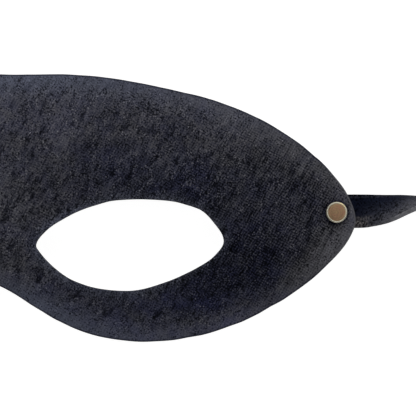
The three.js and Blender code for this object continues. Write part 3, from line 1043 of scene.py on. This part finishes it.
def aged_brass_finish():
    """Brass browned on its flat face, with painted light on one side; its raised rim worn pale, with a
    painted reflection and glint.
    """
    finish, tree, shader = new_finish("aged_brass")
    position = tree.nodes.new("ShaderNodeTexCoord").outputs["Object"]
    x, y, _ = separate(tree, position)
    from_x = calc(tree, "SUBTRACT", calc(tree, "ABSOLUTE", x), RIVET_PLACE[0])
    from_y = calc(tree, "SUBTRACT", y, RIVET_PLACE[1])
    radius = calc(tree, "SQRT", sum_of_squares(tree, from_x, from_y))
    on_rim = eased(tree, radius, 0.00246, 0.00258)
    tarnish = cloudy(tree, position, 0.0011, 3.0, 6.0)
    specks = cloudy(tree, position, 0.0004, 2.0, 7.0)
    brown = blended(tree, eased(tree, tarnish, 0.38, 0.62), *BROWNED_BRASS)
    turning = calc(tree, "SINE", calc(tree, "MULTIPLY", radius, 2 * math.pi / TURNING_PITCH))
    marks_and_painted_light = faded(tree, turning, radius, 0.0010, 0.0024, 0.03, 0.16)
    marks_and_painted_light = shifted(tree, marks_and_painted_light, specks, 0.3, 0.7, 0.75, 1.05)
    # Painted light: how far a point lies toward the lit side of the rivet.
    toward = calc(tree, "MULTIPLY", from_y, PAINTED_LIGHT_SIDE[1])
    toward = calc(tree, "ADD", calc(tree, "MULTIPLY", from_x, PAINTED_LIGHT_SIDE[0]), toward)
    # Painted light: the face, with its turning lines, is lighter toward the lit side.
    marks_and_painted_light = calc(tree, "MULTIPLY_ADD", toward, 60.0, marks_and_painted_light)
    brown = blended(tree, marks_and_painted_light, BLACK, brown)
    # The groove inside the rim: painted shade on one side, painted light toward the lit side.
    groove = eased(tree, radius, 0.00222, 0.00240)
    in_groove = blended(tree, eased(tree, toward, -0.0016, 0.0020), *GROOVE_SHADED_AND_LIT)
    brown = blended(tree, groove, brown, in_groove)
    # The rim is paler: partly worn metal, partly a painted reflection of the bright room round it.
    pale = blended(tree, eased(tree, specks, 0.35, 0.6), *WORN_AND_REFLECTING_BRASS)
    # Painted glint: a bright spot on the rim on the lit side.
    bright = eased(tree, calc(tree, "DIVIDE", toward, radius), 0.88, 0.98)
    pale = blended(tree, bright, pale, PAINTED_GLINT_BRASS)
    colour = blended(tree, on_rim, brown, pale)
    on_side = eased(tree, radius, 0.00290, 0.00298)
    colour = blended(tree, on_side, colour, SIDE_BRASS)
    feed(tree, shader.inputs["Base Color"], colour)
    metal = eased(tree, radius, 0.00246, 0.00258, 0.4, 0.7)
    metal = calc(tree, "MAXIMUM", metal, calc(tree, "MULTIPLY", on_side, 0.95))
    feed(tree, shader.inputs["Metallic"], metal)
    rough = eased(tree, tarnish, 0.3, 0.7, 0.42, 0.55)
    rough = calc(tree, "SUBTRACT", rough, calc(tree, "MULTIPLY", on_side, 0.14))
    feed(tree, shader.inputs["Roughness"], rough)
    relief = calc(tree, "ADD", calc(tree, "MULTIPLY", turning, 0.12), specks)
    feed(tree, shader.inputs["Normal"], raised(tree, relief, 0.00002, 0.6))
    return finish


aged_brass = aged_brass_finish()
turned_rivet = turned_rivet_tree()
for side, end in ((1, "right"), (-1, "left")):
    for part, outline in (("cap", FRONT_CAP), ("post", BACK_CAP_AND_POST)):
        node = f"rivet_{part}_{end}"
        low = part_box(node)[0]
        curve = bpy.data.curves.new(f"{node}_outline", "CURVE")
        curve.dimensions = "3D"
        spline = curve.splines.new("POLY")
        spline.points.add(len(outline) - 1)
        for point, (radius, height) in zip(spline.points, reversed(outline)):
            point.co = (radius - RIVET_RING, -height, 0, 1)
        maker = bpy.data.objects.new(f"{node}_outline", curve)
        bpy.context.scene.collection.objects.link(maker)
        rivet = worked_mesh(
            maker,
            turned_rivet,
            {
                "Sides": RIVET_SIDES,
                "Ring Radius": RIVET_RING,
                "Place": (side * RIVET_PLACE[0], RIVET_PLACE[1], low[2]),
                "Metal": aged_brass,
            },
            f"turned_{node}",
        )
        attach(rivet, "root")
        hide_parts(node)


# Floor and lights: a lit white table, which burns out to plain white as in the photograph, and soft
# boxes low round it, so that the black leather is bright where it slopes and dark where it is level.
FLOOR_SIZE = 6.0
FLOOR_LEVEL = -0.0001
SOFT_BOXES = [
    ((0.02, 0.72, 0.52), (0.9, 0.45), 3.6),
    ((0.80, 0.18, 0.45), (0.6, 0.45), 2.0),
    ((0.10, -0.75, 0.45), (0.9, 0.40), 1.5),
    ((-0.75, 0.20, 0.50), (0.6, 0.45), 1.8),
]
LIT_SPOT = (0.05, 0, 0)
ROOM_LIGHT = 0.03
WHITE = (1, 1, 1, 1)
TABLE_GREY = (0.30, 0.30, 0.30, 1)
TABLE_GLOW = 0.95
floor_finish, _, floor_shader = new_finish("white_table")
floor_shader.inputs["Base Color"].default_value = TABLE_GREY
floor_shader.inputs["Roughness"].default_value = 0.9
floor_shader.inputs["Specular IOR Level"].default_value = 0.0
floor_shader.inputs["Emission Color"].default_value = WHITE
floor_shader.inputs["Emission Strength"].default_value = TABLE_GLOW
floor_mesh = bpy.data.meshes.new("white_table")
half = FLOOR_SIZE / 2
corners = [(-half, -half, 0), (half, -half, 0), (half, half, 0), (-half, half, 0)]
floor_mesh.from_pydata(corners, [], [(0, 1, 2, 3)])
floor_mesh.materials.append(floor_finish)
floor = bpy.data.objects.new("white_table", floor_mesh)
floor.location.z = FLOOR_LEVEL
bpy.context.scene.collection.objects.link(floor)

for number, (place, size, power) in enumerate(SOFT_BOXES):
    box = bpy.data.lights.new(f"soft_box_{number}", "AREA")
    box.shape = "RECTANGLE"
    box.size, box.size_y = size
    box.energy = power
    light = bpy.data.objects.new(f"soft_box_{number}", box)
    light.location = place
    aim = Vector(LIT_SPOT) - Vector(place)
    light.rotation_euler = aim.to_track_quat("-Z", "Y").to_euler()
    light.visible_camera = False
    bpy.context.scene.collection.objects.link(light)
world = bpy.data.worlds.new("studio")
world.use_nodes = True
world.node_tree.nodes["Background"].inputs["Color"].default_value = WHITE
world.node_tree.nodes["Background"].inputs["Strength"].default_value = ROOM_LIGHT
bpy.context.scene.world = world
bpy.context.scene.view_settings.view_transform = "Standard"
